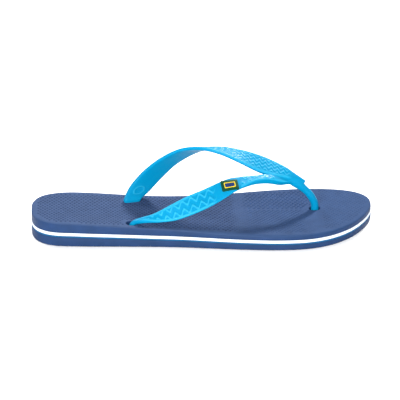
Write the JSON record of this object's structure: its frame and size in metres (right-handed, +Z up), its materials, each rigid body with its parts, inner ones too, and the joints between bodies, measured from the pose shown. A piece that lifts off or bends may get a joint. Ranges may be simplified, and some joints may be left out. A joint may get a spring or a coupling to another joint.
{
  "type": "flip flop",
  "caption": "Right-foot flip flop with a layered foam sole, a moulded Y strap plugged through it and a small badge; the sole bends at the ball of the foot.",
  "frame": {"origin": "centre of the bounding box at ground level, under the middle of the sole", "axes": "+X to the toe, +Y to the medial (big-toe) side, +Z up from the ground"},
  "size_m": [0.2794, 0.0984, 0.0652],
  "materials": {
    "footbed": "matte navy foam rubber with fine moulded grip texture",
    "outsole": "satin navy rubber",
    "midsole_white": "smooth white foam",
    "midsole_blue": "smooth mid-blue foam",
    "strap": "glossy slightly translucent soft PVC with moulded wave relief",
    "badge_green": "soft PVC, satin",
    "badge_yellow": "soft PVC, satin",
    "badge_blue": "soft PVC, satin"
  },
  "bodies": {
    "rear": {"footbed_rear": "footbed", "midsole_white_rear": "midsole_white", "midsole_blue_rear": "midsole_blue", "outsole_rear": "outsole", "strap_arm_medial": "strap", "strap_arm_lateral": "strap", "badge_plate": "badge_green", "badge_frame": "badge_yellow", "badge_panel": "badge_blue"},
    "forefoot": {"footbed_front": "footbed", "midsole_white_front": "midsole_white", "midsole_blue_front": "midsole_blue", "outsole_front": "outsole", "toe_post": "strap"}
  },
  "joints": [
    {"name": "toe_flex", "type": "hinge", "parent": "rear", "child": "forefoot", "pos_m": [0.052, 0, 0.0134], "axis": [0, -1, 0], "range_deg": [0, 30], "stiffness_Nm_per_rad": 0.8, "deforming": ["toe_post"]}
  ]
}
